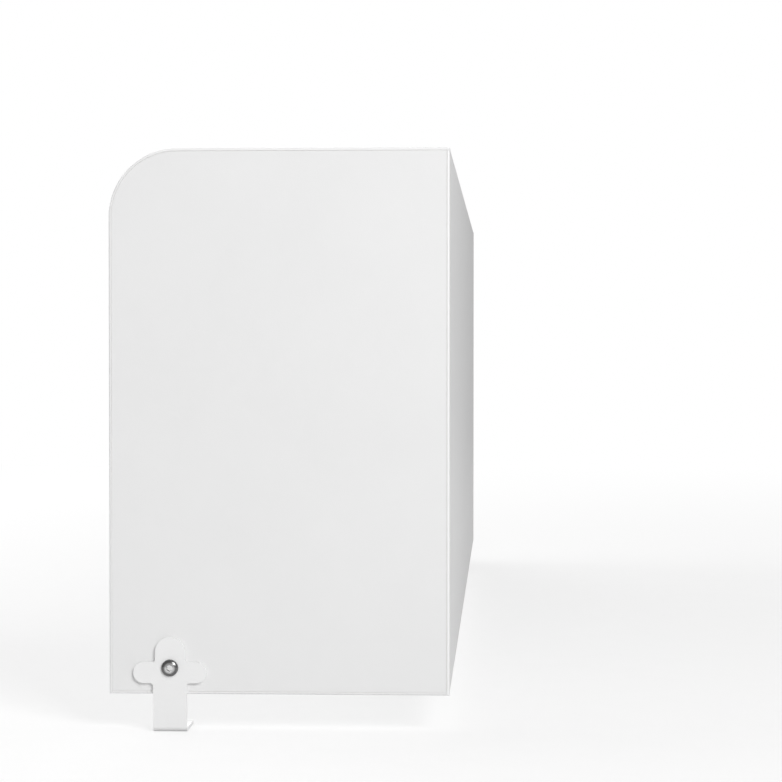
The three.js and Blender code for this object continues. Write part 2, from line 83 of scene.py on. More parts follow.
# Bracket
PLATE = 2.5 * MM
ARM_WIDTH = 25 * MM
TOP_LOBE_RADIUS = 11 * MM
SIDE_LOBE_RADIUS = 7.75 * MM
SIDE_LOBE_Z = 16 * MM
LOBE_FILLET = 2 * MM
LOBE_STEPS = 32
FILLET_STEPS = 8
BEND_RADIUS = 1.5 * MM
BEND_STEPS = 16
FLANGE_CORNER = 3 * MM
SCREW_HOLE_RADIUS = 2.4 * MM
SCREW_SINK_RADIUS = 4.6 * MM
SCREW_SINK_DEPTH = 2 * MM
SCREW_PITCH = 16 * MM
STUD_RADIUS = 2 * MM
STUD_LENGTH = 7.5 * MM
BRACKET_EDGE = 0.4 * MM

# Bracket bolt and sleeve nut
BOLT_RADIUS = 2.7 * MM
BOLT_HEAD_RADIUS = 6.2 * MM
BOLT_HEAD_HEIGHT = 3.3 * MM
BOLT_HEAD_RIM = 0.8 * MM
BOLT_POINT = 1 * MM
BOLT_THREAD_PITCH = 1 * MM
BOLT_THREAD_DEPTH = 0.5 * MM
BOLT_PLAIN_SHANK = 0.6 * MM  # between the head and the thread
DOME_STEPS = 16
HEX_KEY = 4 * MM
HEX_DEPTH = 2 * MM
NUT_RADIUS = 4.2 * MM
NUT_CHAMFER = 0.5 * MM
NUT_FLANGE_RADIUS = 7 * MM
NUT_FLANGE = 1.3 * MM
NUT_FLOOR = 3 * MM
RUNNING_GAP = 0.3 * MM

# Cam, cam bolt and dowel
CAM_POCKET_RADIUS = 7.5 * MM
CAM_POCKET_DEPTH = 13.9 * MM
CAM_CAVITY_LOCKED = 5.1 * MM
CAM_CAVITY_OPEN = 6.1 * MM
CAM_CAVITY_TOP = 5.1 * MM  # from the cam's face
CAM_BOLT_DEPTH = 8.8 * MM  # from the cam's face to the middle of the cam bolt
CAM_SLOT_HALF_HEIGHT = 2.6 * MM
CAM_SLOT_MARGIN = 35  # degrees of slot beyond the locked and the open position
CAM_TURN = 180  # degrees from locked to open
CAM_HEAD_GATE = 3.7 * MM  # half width of the opening that lets the bolt's head in
CAM_CROSS_WIDTH = 1.8 * MM
CAM_CROSS_REACH = 3.4 * MM
CAM_CROSS_DEPTH = 2.4 * MM
CAM_CROSS_TAPER = 0.6  # size of the cross at its floor against its size at the face
CAM_MARK_TIP = 6.4 * MM
CAM_MARK_LENGTH = 2.2 * MM
CAM_MARK_HALF_WIDTH = 1.4 * MM
CAM_MARK_DEPTH = 0.8 * MM
CAM_EDGE = 0.15 * MM
CAM_STEPS = 96
CAM_BOLT_THREAD_RADIUS = 2.5 * MM
CAM_BOLT_THREAD_PITCH = 2.2 * MM
CAM_BOLT_THREAD_DEPTH = 0.5 * MM
CAM_BOLT_THREAD_LENGTH = 10.8 * MM
CAM_BOLT_THREAD_END = 11.5 * MM  # from the bolt's point to its shoulder
CAM_BOLT_SHANK_RADIUS = 3.3 * MM
CAM_BOLT_SHANK_END = 36.4 * MM
CAM_BOLT_NECK_RADIUS = 2.2 * MM
CAM_BOLT_NECK_END = 40.4 * MM
CAM_BOLT_HEAD_RADIUS = 3.2 * MM
CAM_BOLT_TAPER = 1 * MM
DOWEL_RADIUS = 4 * MM
DOWEL_CHAMFER = 1 * MM
DOWEL_FLUTES = 18
DOWEL_FLUTE_DEPTH = 0.25 * MM
DOWEL_STEPS = 144

TURNED_STEPS = 64
THREAD_ROWS = 10  # rows of points in each pitch of a thread
OVERRUN = 1 * MM  # how far a cutting tool runs past the face that it opens

# Studio
CAMERA_SETBACK = 1.772  # from the near wing's outer face
CAMERA_ASIDE = 0.0394  # past the back screen's rear face
CAMERA_HEIGHT = 0.259  # above the desktop
CAMERA_LENS = 112
CAMERA_SENSOR = 36
AMBIENT = 0.40  # strength of the even light from all round
FLOOR_RADIUS = 14.0
FLOOR_STEPS = 96
FLOOR_FADE = (0.0, 3.2)  # distances between which the floor turns into the background
FLOOR_GLOW = 0.55  # share of the background in the floor under the object, which lightens the shadows


# ---------------------------------------------------------------- mesh tools


def new_object(name, vertices, faces):
    """A mesh object whose faces all point outwards."""
    mesh = bpy.data.meshes.new(name)
    mesh.from_pydata([tuple(v) for v in vertices], [], faces)
    form = bmesh.new()
    form.from_mesh(mesh)
    bmesh.ops.recalc_face_normals(form, faces=form.faces)
    form.to_mesh(mesh)
    form.free()
    made = bpy.data.objects.new(name, mesh)
    bpy.context.scene.collection.objects.link(made)
    return made


def arc(centre, radius, start, end, steps):
    """Points along an arc in a plane, angles in degrees, both ends included."""
    points = []
    for step in range(steps + 1):
        angle = math.radians(start + (end - start) * step / steps)
        points.append((centre[0] + radius * math.cos(angle), centre[1] + radius * math.sin(angle)))
    return points


def round_outline(radius, steps):
    """A full circle of (x, y) points, none of them twice."""
    return arc((0, 0), radius, 0, 360, steps)[:-1]


def rectangle(low_x, low_y, high_x, high_y):
    """The four corners of a rectangle as (x, y) points."""
    return [(low_x, low_y), (high_x, low_y), (high_x, high_y), (low_x, high_y)]


def lofted(name, rings):
    """One closed form through equal rings of points, with a flat face at each end."""
    size = len(rings[0])
    faces = [tuple(range(size))]
    for low in range(0, (len(rings) - 1) * size, size):
        for i in range(size):
            j = (i + 1) % size
            faces.append((low + i, low + j, low + size + j, low + size + i))
    last = (len(rings) - 1) * size
    faces.append(tuple(range(last, last + size)))
    return new_object(name, [point for ring in rings for point in ring], faces)


def prism(name, outline, low, high, end_scale=1.0):
    """An outline of (x, y) points given height along Z, shrunk by end_scale at its high end."""
    foot = [(x, y, low) for x, y in outline]
    top = [(end_scale * x, end_scale * y, high) for x, y in outline]
    return lofted(name, [foot, top])


def circle(radius, along, steps=TURNED_STEPS):
    """A ring of points about Y."""
    angles = [2 * math.pi * i / steps for i in range(steps)]
    return [(radius * math.sin(a), along, radius * math.cos(a)) for a in angles]


def turned(name, profile, steps=TURNED_STEPS):
    """Rings of (radius, y) turned about Y, with flat ends."""
    return lofted(name, [circle(radius, along, steps) for radius, along in profile])


def thread_rings(radius, depth, pitch, low, high):
    """Rings of a screw thread about Y, whose ridge fades out at both ends."""
    rings = []
    rows = round((high - low) / pitch * THREAD_ROWS)
    for row in range(rows + 1):
        along = low + (high - low) * row / rows
        fade = min(1, (along - low) / pitch, (high - along) / pitch)
        ring = []
        for i in range(TURNED_STEPS):
            turn = i / TURNED_STEPS
            phase = ((along - low) / pitch - turn) % 1
            ridge = 1 - abs(2 * phase - 1)
            reach = radius - depth * (1 - fade * ridge)
            ring.append((reach * math.sin(2 * math.pi * turn), along, reach * math.cos(2 * math.pi * turn)))
        rings.append(ring)
    return rings


def applied(piece):
    """Makes the piece's modifiers part of its mesh."""
    graph = bpy.context.evaluated_depsgraph_get()
    mesh = bpy.data.meshes.new_from_object(piece.evaluated_get(graph), depsgraph=graph)
    mesh.name = piece.name
    piece.modifiers.clear()
    piece.data = mesh
    return piece


def combined(piece, tool, operation):
    """Cuts the tool out of the piece, or joins it on, and throws the tool away."""
    step = piece.modifiers.new(operation.lower(), "BOOLEAN")
    step.operation = operation
    step.solver = "EXACT"
    step.object = tool
    applied(piece)
    bpy.data.objects.remove(tool)
    return piece


def weld(piece):
    """Merges points that fall on one another."""
    piece.modifiers.new("weld", "WELD").merge_threshold = MERGE_GAP


def rounded(piece, width, segments=2, sharp_angle=35):
    """Rounds every sharp edge, then shades the curved faces smooth."""
    weld(piece)
    bevel = piece.modifiers.new("broken_edges", "BEVEL")
    bevel.width = width
    bevel.segments = segments
    bevel.limit_method = "ANGLE"
    bevel.angle_limit = math.radians(sharp_angle)
    bevel.use_clamp_overlap = True
    weld(piece)
    return smooth(applied(piece), sharp_angle)


def smooth(piece, sharp_angle=35):
    """Smooth shading that follows the larger faces, so that flat faces look flat up to their edges."""
    piece.data.shade_smooth()
    piece.data.set_sharp_from_angle(angle=math.radians(sharp_angle))
    weighted = piece.modifiers.new("even_shading", "WEIGHTED_NORMAL")
    weighted.keep_sharp = True
    return applied(piece)


def finish_piece(piece, material, body, node):
    """Gives a piece its material, and puts it in the frame in place of its CAD node."""
    piece.data.materials.clear()
    piece.data.materials.append(material)
    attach(piece, body)
    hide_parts(node)


def cylinder(name, radius, x, z, start, end, steps=TURNED_STEPS):
    """A plain round tool about a line along Y, between two places on it."""
    tool = turned(name, [(radius, min(start, end)), (radius, max(start, end))], steps)
    tool.data.transform(Matrix.Translation((x, 0, z)))
    return tool


def middle_of(node):
    """The middle of a CAD node."""
    low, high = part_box(node)
    return (low + high) / 2


def size_of(node):
    """A node's length along X, Y and Z in whole micrometres, so that equal nodes get equal pieces."""
    low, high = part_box(node)
    return [round(edge, 6) for edge in high - low]


def ends_of(node, out):
    """A node's outer and inner end along Y. The inner end is the one nearer the desk's middle."""
    low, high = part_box(node)
    return (low.y, high.y) if out < 0 else (high.y, low.y)


def placed(piece, node, out, height=None):
    """Moves a piece that was made about its own axis to its CAD node.

    The piece is made with y = 0 at its outer end and +y towards the desk's middle. Its z = 0 goes to
    the given height, or to the middle of the node.
    """
    middle = middle_of(node)
    outer = ends_of(node, out)[0]
    turn = 0 if out < 0 else math.pi
    spot = Vector((middle.x, outer, middle.z if height is None else height))
    piece.data.transform(Matrix.Translation(spot) @ Matrix.Rotation(turn, 4, "Z"))


# ---------------------------------------------------------------- boards


def bore(node, radius, start, end):
    """A tool for a hole along Y about a CAD node's own axis."""
    middle = middle_of(node)
    return cylinder("bore", radius, middle.x, middle.z, start, end)


def wing_outline(low, high, corner):
    """The wing's side view in X and Z, with its free top corner rounded."""
    outline = [(high.x, low.z), (low.x, low.z)]
    outline += arc((low.x + corner, high.z - corner), corner, 180, 90, CORNER_STEPS)
    return outline + [(high.x, high.z)]


def wing_board(side, out, material):
    """A wing's core, bored for the sleeve nut, the cam bolts, the dowels and the bracket's studs."""
    node = f"{side}_wing_board"
    low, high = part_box(node)
    outer, inner = ends_of(node, out)
    band_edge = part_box(f"{side}_wing_front_band")[0].x
    outline = wing_outline(low, high, CORNER_RADIUS - (low.x - band_edge))
    piece = lofted(f"{node}_piece", [[(x, y, z) for x, z in outline] for y in (low.y, high.y)])
    mouth = inner - out * OVERRUN
    tools = [bore(f"{side}_sleeve_nut", NUT_RADIUS + RUNNING_GAP, outer + out * OVERRUN, mouth)]
    for level in LEVELS:
        for kind, radius in (("cam_bolt", CAM_BOLT_THREAD_RADIUS), ("dowel", DOWEL_RADIUS)):
            joined = f"{side}_{level}_{kind}"
            floor_y = ends_of(joined, out)[0] + out * RUNNING_GAP
            tools.append(bore(joined, radius + RUNNING_GAP, floor_y, mouth))
    bracket_low, bracket_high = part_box(f"{side}_bracket")
    stud_floor = outer - out * (STUD_LENGTH + RUNNING_GAP)
    for stud_x in (bracket_low.x + SIDE_LOBE_RADIUS, bracket_high.x - SIDE_LOBE_RADIUS):
        radius = STUD_RADIUS + RUNNING_GAP
        tools.append(cylinder("stud_hole", radius, stud_x, SIDE_LOBE_Z, outer + out * OVERRUN, stud_floor))
    for tool in tools:
        combined(piece, tool, "DIFFERENCE")
    rounded(piece, FINE_EDGE)
    finish_piece(piece, material, SCREEN_BODY, node)


def cam_pocket(side, level, front):
    """A tool for the round pocket that a cam turns in, open at the board's front face."""
    middle = middle_of(f"{side}_{level}_cam")
    profile = [(CAM_POCKET_RADIUS, -OVERRUN), (CAM_POCKET_RADIUS, CAM_POCKET_DEPTH)]
    tool = turned("pocket", profile, CAM_STEPS)
    towards_x = Matrix.Rotation(-math.pi / 2, 4, "Z")
    tool.data.transform(Matrix.Translation((front, middle.y, middle.z)) @ towards_x)
    return tool


def back_screen_board(material):
    """The long core, with cam pockets in its front face and bores for bolts and dowels in its ends."""
    node = "back_screen_board"
    low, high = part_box(node)
    corners = rectangle(low.x, low.z, high.x, high.z)
    piece = lofted(f"{node}_piece", [[(x, y, z) for x, z in corners] for y in (low.y, high.y)])
    for side, out in SIDES.items():
        mouth = (low.y if out < 0 else high.y) + out * OVERRUN
        for level in LEVELS:
            cam_y = middle_of(f"{side}_{level}_cam").y
            dowel_floor = ends_of(f"{side}_{level}_dowel", out)[1] - out * RUNNING_GAP
            combined(piece, cam_pocket(side, level, low.x), "DIFFERENCE")
            shank = bore(f"{side}_{level}_cam_bolt", CAM_BOLT_SHANK_RADIUS + RUNNING_GAP, mouth, cam_y)
            combined(piece, shank, "DIFFERENCE")
            socket = bore(f"{side}_{level}_dowel", DOWEL_RADIUS + RUNNING_GAP, mouth, dowel_floor)
            combined(piece, socket, "DIFFERENCE")
    rounded(piece, FINE_EDGE)
    finish_piece(piece, material, SCREEN_BODY, node)


# ---------------------------------------------------------------- edge bands


def band_profile(low, high):
    """A band's section as (outwards, across) points: flat inside, with its two outer edges scraped round."""
    inner = [(-BAND, high), (-BAND, low)]
    radius = BAND_EDGE_RADIUS
    near = arc((-radius, low + radius), radius, 270, 360, ROUNDING_STEPS)
    far = arc((-radius, high - radius), radius, 0, 90, ROUNDING_STEPS)
    return inner + near + far


def wing_edge_path(low, high):
    """The wing's free edge, from its foot round the corner to the rear, as (point, outward) pairs."""
    centre = (low.x + CORNER_RADIUS, high.z - CORNER_RADIUS)
    path = [((low.x, low.z), (-1, 0))]
    for step in range(CORNER_STEPS + 1):
        angle = math.radians(180 - 90 * step / CORNER_STEPS)
        outward = (math.cos(angle), math.sin(angle))
        point = (centre[0] + CORNER_RADIUS * outward[0], centre[1] + CORNER_RADIUS * outward[1])
        path.append((point, outward))
    path.append(((high.x, high.z), (0, 1)))
    return path


def wing_front_band(node):
    """The strip up the free edge, round the corner and along the top."""
    low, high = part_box(node)
    profile = band_profile(low.y, high.y)
    rings = []
    for (x, z), (out_x, out_z) in wing_edge_path(low, high):
        rings.append([(x + out * out_x, y, z + out * out_z) for out, y in profile])
    return lofted(f"{node}_piece", rings)


def wing_rear_band(node):
    """The strip down the wing's rear edge."""
    low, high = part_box(node)
    profile = band_profile(low.y, high.y)
    return lofted(f"{node}_piece", [[(high.x + out, y, z) for out, y in profile] for z in (low.z, high.z)])


def wing_foot_band(node):
    """The strip that the wing stands on."""
    low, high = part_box(node)
    profile = band_profile(low.y, high.y)
    return lofted(f"{node}_piece", [[(x, y, low.z - out) for out, y in profile] for x in (low.x, high.x)])


def back_screen_band(node):
    """The strip along the top or the foot of the back screen, rounded on the side away from the board."""
    low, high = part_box(node)
    profile = band_profile(low.x, high.x)
    upwards = 1 if node.endswith("top_band") else -1
    edge = high.z if upwards > 0 else low.z
    rings = [[(x, y, edge + upwards * out) for out, x in profile] for y in (low.y, high.y)]
    return lofted(f"{node}_piece", rings)


def build_bands(material):
    """All the edge bands, each a strip with rounded outer edges."""
    makers = {
        "back_screen_top_band": back_screen_band,
        "back_screen_foot_band": back_screen_band,
    }
    for side in SIDES:
        makers[f"{side}_wing_front_band"] = wing_front_band
        makers[f"{side}_wing_rear_band"] = wing_rear_band
        makers[f"{side}_wing_foot_band"] = wing_foot_band
    for node, make in makers.items():
        piece = rounded(make(node), FINE_EDGE, sharp_angle=50)
        finish_piece(piece, material, SCREEN_BODY, node)


# ---------------------------------------------------------------- brackets


def bracket_outline(low, high):
    """The flat plate in X and Z, from the top of its bend up round the three lobes."""
    arm = ARM_WIDTH / 2
    reach = (high.x - low.x) / 2 - SIDE_LOBE_RADIUS
    lobe_low = SIDE_LOBE_Z - SIDE_LOBE_RADIUS
    lobe_high = SIDE_LOBE_Z + SIDE_LOBE_RADIUS
    fillet = LOBE_FILLET
    right = [(arm, low.z + PLATE + BEND_RADIUS)]
    right += arc((arm + fillet, lobe_low - fillet), fillet, 180, 90, FILLET_STEPS)
    right += arc((reach, SIDE_LOBE_Z), SIDE_LOBE_RADIUS, -90, 90, LOBE_STEPS)
    right += arc((TOP_LOBE_RADIUS + fillet, lobe_high + fillet), fillet, 270, 180, FILLET_STEPS)
    right += arc((0, high.z - TOP_LOBE_RADIUS), TOP_LOBE_RADIUS, 0, 90, LOBE_STEPS // 2)
    left = [(-x, z) for x, z in reversed(right[:-1])]
    return right + left


def bracket_plate(low, high):
    """The flat head and arm, down to the top of the bend."""
    outline = bracket_outline(low, high)
    return lofted("plate", [[(x, y, z) for x, z in outline] for y in (0, PLATE)])


def bracket_foot(low, high):
    """The bend and the flange, as one strip whose side view is lofted across the arm's width."""
    length = high.y - low.y
    centre = (PLATE + BEND_RADIUS, low.z + PLATE + BEND_RADIUS)
    outer = arc(centre, BEND_RADIUS + PLATE, 180, 270, BEND_STEPS)
    inner = arc(centre, BEND_RADIUS, 270, 180, BEND_STEPS)
    start = [(PLATE, SIDE_LOBE_Z), (0, SIDE_LOBE_Z)]
    end = [(length, low.z), (length, low.z + PLATE)]
    side_view = start + outer + end + inner
    strip = lofted("foot", [[(x, y, z) for y, z in side_view] for x in (-ARM_WIDTH / 2, ARM_WIDTH / 2)])
    return combined(strip, flange_limits(low, high, length), "INTERSECT")


def flange_limits(low, high, length):
    """The strip's width and length seen from below, with the flange's end corners rounded."""
    arm = ARM_WIDTH / 2
    corner = FLANGE_CORNER
    outline = [(-arm, -OVERRUN), (arm, -OVERRUN)]
    outline += arc((arm - corner, length - corner), corner, 0, 90, FILLET_STEPS)
    outline += arc((corner - arm, length - corner), corner, 90, 180, FILLET_STEPS)
    return prism("flange_limits", outline, low.z - OVERRUN, high.z)


def countersink(y, underside):
    """A tool for a screw hole through the flange, wide at the underside."""
    profile = [
        (SCREW_SINK_RADIUS, -OVERRUN),
        (SCREW_SINK_RADIUS, 0),
        (SCREW_HOLE_RADIUS, SCREW_SINK_DEPTH),
        (SCREW_HOLE_RADIUS, PLATE + OVERRUN),
    ]
    tool = turned("countersink", profile)
    tool.data.transform(Matrix.Translation((0, y, underside)) @ Matrix.Rotation(math.pi / 2, 4, "X"))
    return tool


def bracket(side, out, material):
    """The steel bracket: head, arm and flange, with its studs and holes."""
    node = f"{side}_bracket"
    low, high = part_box(node)
    piece = bracket_plate(low, high)
    piece.name = f"{node}_piece"
    combined(piece, bracket_foot(low, high), "UNION")
    reach = (high.x - low.x) / 2 - SIDE_LOBE_RADIUS
    for direction in (-1, 1):
        stud = cylinder("stud", STUD_RADIUS, direction * reach, SIDE_LOBE_Z, PLATE / 2, PLATE + STUD_LENGTH)
        combined(piece, stud, "UNION")
    bolt_z = middle_of(f"{side}_bracket_bolt").z
    hole = cylinder("bolt_hole", BOLT_RADIUS + RUNNING_GAP, 0, bolt_z, -OVERRUN, PLATE + OVERRUN)
    combined(piece, hole, "DIFFERENCE")
    flange_middle = (high.y - low.y) / 2 + BEND_RADIUS
    for direction in (-1, 1):
        combined(piece, countersink(flange_middle + direction * SCREW_PITCH / 2, low.z), "DIFFERENCE")
    rounded(piece, BRACKET_EDGE, segments=3)
    placed(piece, node, out, height=0)
    finish_piece(piece, material, SCREEN_BODY, node)


def hexagon(low, high):
    """A tool for a key's socket along Y."""
    return cylinder("hexagon", HEX_KEY / math.sqrt(3), 0, 0, low, high, steps=6)


def bolt_head():
    """A button head with a hexagon socket, its dome at y = 0 and its flat underside at +y."""
    dome_height = BOLT_HEAD_HEIGHT - BOLT_HEAD_RIM
    profile = []
    for step in range(1, DOME_STEPS + 1):
        angle = math.pi / 2 * step / DOME_STEPS
        profile.append((BOLT_HEAD_RADIUS * math.sin(angle), dome_height * (1 - math.cos(angle))))
    profile.append((BOLT_HEAD_RADIUS, BOLT_HEAD_HEIGHT))
    head = turned("head", profile)
    combined(head, hexagon(-OVERRUN, HEX_DEPTH), "DIFFERENCE")
    return rounded(head, FINE_EDGE)


def bracket_bolt(side, out, material):
    """A threaded bolt with a domed head. It turns in its sleeve nut."""
    node = f"{side}_bracket_bolt"
    length = size_of(node)[1]
    root = BOLT_RADIUS - BOLT_THREAD_DEPTH
    thread_start = BOLT_HEAD_HEIGHT + BOLT_PLAIN_SHANK
    thread_end = length - BOLT_POINT
    rings = [circle(root, BOLT_HEAD_HEIGHT - OVERRUN / 2)]
    rings += thread_rings(BOLT_RADIUS, BOLT_THREAD_DEPTH, BOLT_THREAD_PITCH, thread_start, thread_end)
    rings.append(circle(root - BOLT_POINT / 2, length))
    piece = lofted(f"{node}_piece", rings)
    combined(piece, bolt_head(), "UNION")
    smooth(piece)
    placed(piece, node, out)
    finish_piece(piece, material, node, node)


def sleeve_nut(side, out, material):
    """The flanged nut on the wing's inner face, with a socket to hold it by."""
    node = f"{side}_sleeve_nut"
    length = size_of(node)[1]
    under = length - NUT_FLANGE
    profile = [
        (NUT_RADIUS - NUT_CHAMFER, 0),
        (NUT_RADIUS, NUT_CHAMFER),
        (NUT_RADIUS, under),
        (NUT_FLANGE_RADIUS, under),
        (NUT_FLANGE_RADIUS, under + NUT_FLANGE / 2),
        (NUT_FLANGE_RADIUS - NUT_FLANGE / 2, length),
    ]
    piece = turned(f"{node}_piece", profile)
    thread_end = length - NUT_FLOOR
    combined(piece, cylinder("thread", BOLT_RADIUS + RUNNING_GAP, 0, 0, -OVERRUN, thread_end), "DIFFERENCE")
    combined(piece, hexagon(thread_end - OVERRUN, length + OVERRUN), "DIFFERENCE")
    rounded(piece, FINE_EDGE)
    placed(piece, node, out)
    finish_piece(piece, material, SCREEN_BODY, node)


# ---------------------------------------------------------------- corner joints


def cam_cavity():
    """The cam's hollow, whose radius grows from the locked to the open position and falls back beyond it."""
    outline = []
    for step in range(CAM_STEPS):
        turn = 360 * step / CAM_STEPS
        opened = 1 - abs(turn - CAM_TURN) / CAM_TURN
        radius = CAM_CAVITY_LOCKED + opened * (CAM_CAVITY_OPEN - CAM_CAVITY_LOCKED)
        outline.append((radius * math.cos(math.radians(turn)), radius * math.sin(math.radians(turn))))
    return outline


def cam_slot(radius):
    """The slot in the cam's wall that lets the bolt's neck pass while the cam turns."""
    start = -CAM_SLOT_MARGIN
    end = CAM_TURN + CAM_SLOT_MARGIN
    outer = arc((0, 0), radius + OVERRUN, start, end, CAM_STEPS)
    inner = arc((0, 0), CAM_BOLT_HEAD_RADIUS, end, start, CAM_STEPS)
    return outer + inner


def cam_cross():
    """A plus sign for the screwdriver."""
    half = CAM_CROSS_WIDTH / 2
    reach = CAM_CROSS_REACH
    quarter = [(reach, -half), (reach, half), (half, half)]
    outline = []
    for along_x, along_y in ((1, 0), (0, 1), (-1, 0), (0, -1)):
        outline += [(along_x * x - along_y * y, along_y * x + along_x * y) for x, y in quarter]
    return outline


def cam_mark():
    """An arrow head that points to the cam's opening."""
    base = CAM_MARK_TIP - CAM_MARK_LENGTH
    return [(-CAM_MARK_TIP, 0), (-base, CAM_MARK_HALF_WIDTH), (-base, -CAM_MARK_HALF_WIDTH)]


def cam(side, out, level, material):
    """A cast cam. It is made with its face at z = 0, its axis along Z into the board, and the bolt at +X."""
    node = f"{side}_{level}_cam"
    length, _, height = size_of(node)
    radius = height / 2
    beyond = length + OVERRUN
    piece = prism(f"{node}_piece", round_outline(radius, CAM_STEPS), 0, length)
    gate = rectangle(-radius - OVERRUN, -CAM_HEAD_GATE, -CAM_HEAD_GATE, CAM_HEAD_GATE)
    slot_low = CAM_BOLT_DEPTH - CAM_SLOT_HALF_HEIGHT
    slot_high = CAM_BOLT_DEPTH + CAM_SLOT_HALF_HEIGHT
    tools = [
        prism("cavity", cam_cavity(), CAM_CAVITY_TOP, beyond),
        prism("slot", cam_slot(radius), slot_low, slot_high),
        prism("gate", gate, CAM_CAVITY_TOP, beyond),
        prism("cross", cam_cross(), -OVERRUN / 2, CAM_CROSS_DEPTH, CAM_CROSS_TAPER),
        prism("mark", cam_mark(), -OVERRUN, CAM_MARK_DEPTH),
    ]
    for tool in tools:
        combined(piece, tool, "DIFFERENCE")
    rounded(piece, CAM_EDGE)
    facing = Matrix(((0, 0, 1, 0), (out, 0, 0, 0), (0, out, 0, 0), (0, 0, 0, 1)))
    spot = middle_of(node) - Vector((length / 2, 0, 0))
    piece.data.transform(Matrix.Translation(spot) @ facing)
    finish_piece(piece, material, node, node)


def cam_bolt(side, out, level, material):
    """A wood thread in the wing, a plain shank in the back screen's end, and a neck and head in the cam."""
    node = f"{side}_{level}_cam_bolt"
    length = size_of(node)[1]
    root = CAM_BOLT_THREAD_RADIUS - CAM_BOLT_THREAD_DEPTH
    taper = CAM_BOLT_TAPER
    shank = [
        (CAM_BOLT_SHANK_RADIUS, CAM_BOLT_THREAD_END),
        (CAM_BOLT_SHANK_RADIUS, CAM_BOLT_SHANK_END),
        (CAM_BOLT_NECK_RADIUS, CAM_BOLT_SHANK_END + taper),
        (CAM_BOLT_NECK_RADIUS, CAM_BOLT_NECK_END),
        (CAM_BOLT_HEAD_RADIUS, CAM_BOLT_NECK_END + taper),
        (CAM_BOLT_HEAD_RADIUS, length - taper / 2),
        (CAM_BOLT_HEAD_RADIUS - taper / 2, length),
    ]
    rings = [circle(root - taper, 0)]
    thread_pitch = CAM_BOLT_THREAD_PITCH
    thread_depth = CAM_BOLT_THREAD_DEPTH
    rings += thread_rings(CAM_BOLT_THREAD_RADIUS, thread_depth, thread_pitch, taper, CAM_BOLT_THREAD_LENGTH)
    rings.append(circle(root, CAM_BOLT_THREAD_END + taper / 2))
    piece = lofted(f"{node}_piece", rings)
    combined(piece, rounded(turned("shank", shank), FINE_EDGE), "UNION")
    smooth(piece)
    placed(piece, node, out)
    finish_piece(piece, material, SCREEN_BODY, node)


def dowel(side, out, level, material):
    """A beech dowel with flutes along it for the glue."""
    node = f"{side}_{level}_dowel"
    length = size_of(node)[1]
    chamfer = DOWEL_CHAMFER
    stations = [
        (DOWEL_RADIUS - chamfer, 0),
        (DOWEL_RADIUS, chamfer),
        (DOWEL_RADIUS, length - chamfer),
        (DOWEL_RADIUS - chamfer, length),
    ]
    rings = []
    for radius, along in stations:
        ring = []
        for i in range(DOWEL_STEPS):
            angle = 2 * math.pi * i / DOWEL_STEPS
            reach = radius - DOWEL_FLUTE_DEPTH * (0.5 - 0.5 * math.cos(DOWEL_FLUTES * angle))
            ring.append((reach * math.sin(angle), along, reach * math.cos(angle)))
        rings.append(ring)
    piece = smooth(lofted(f"{node}_piece", rings))
    placed(piece, node, out)
    finish_piece(piece, material, SCREEN_BODY, node)


# ---------------------------------------------------------------- materials


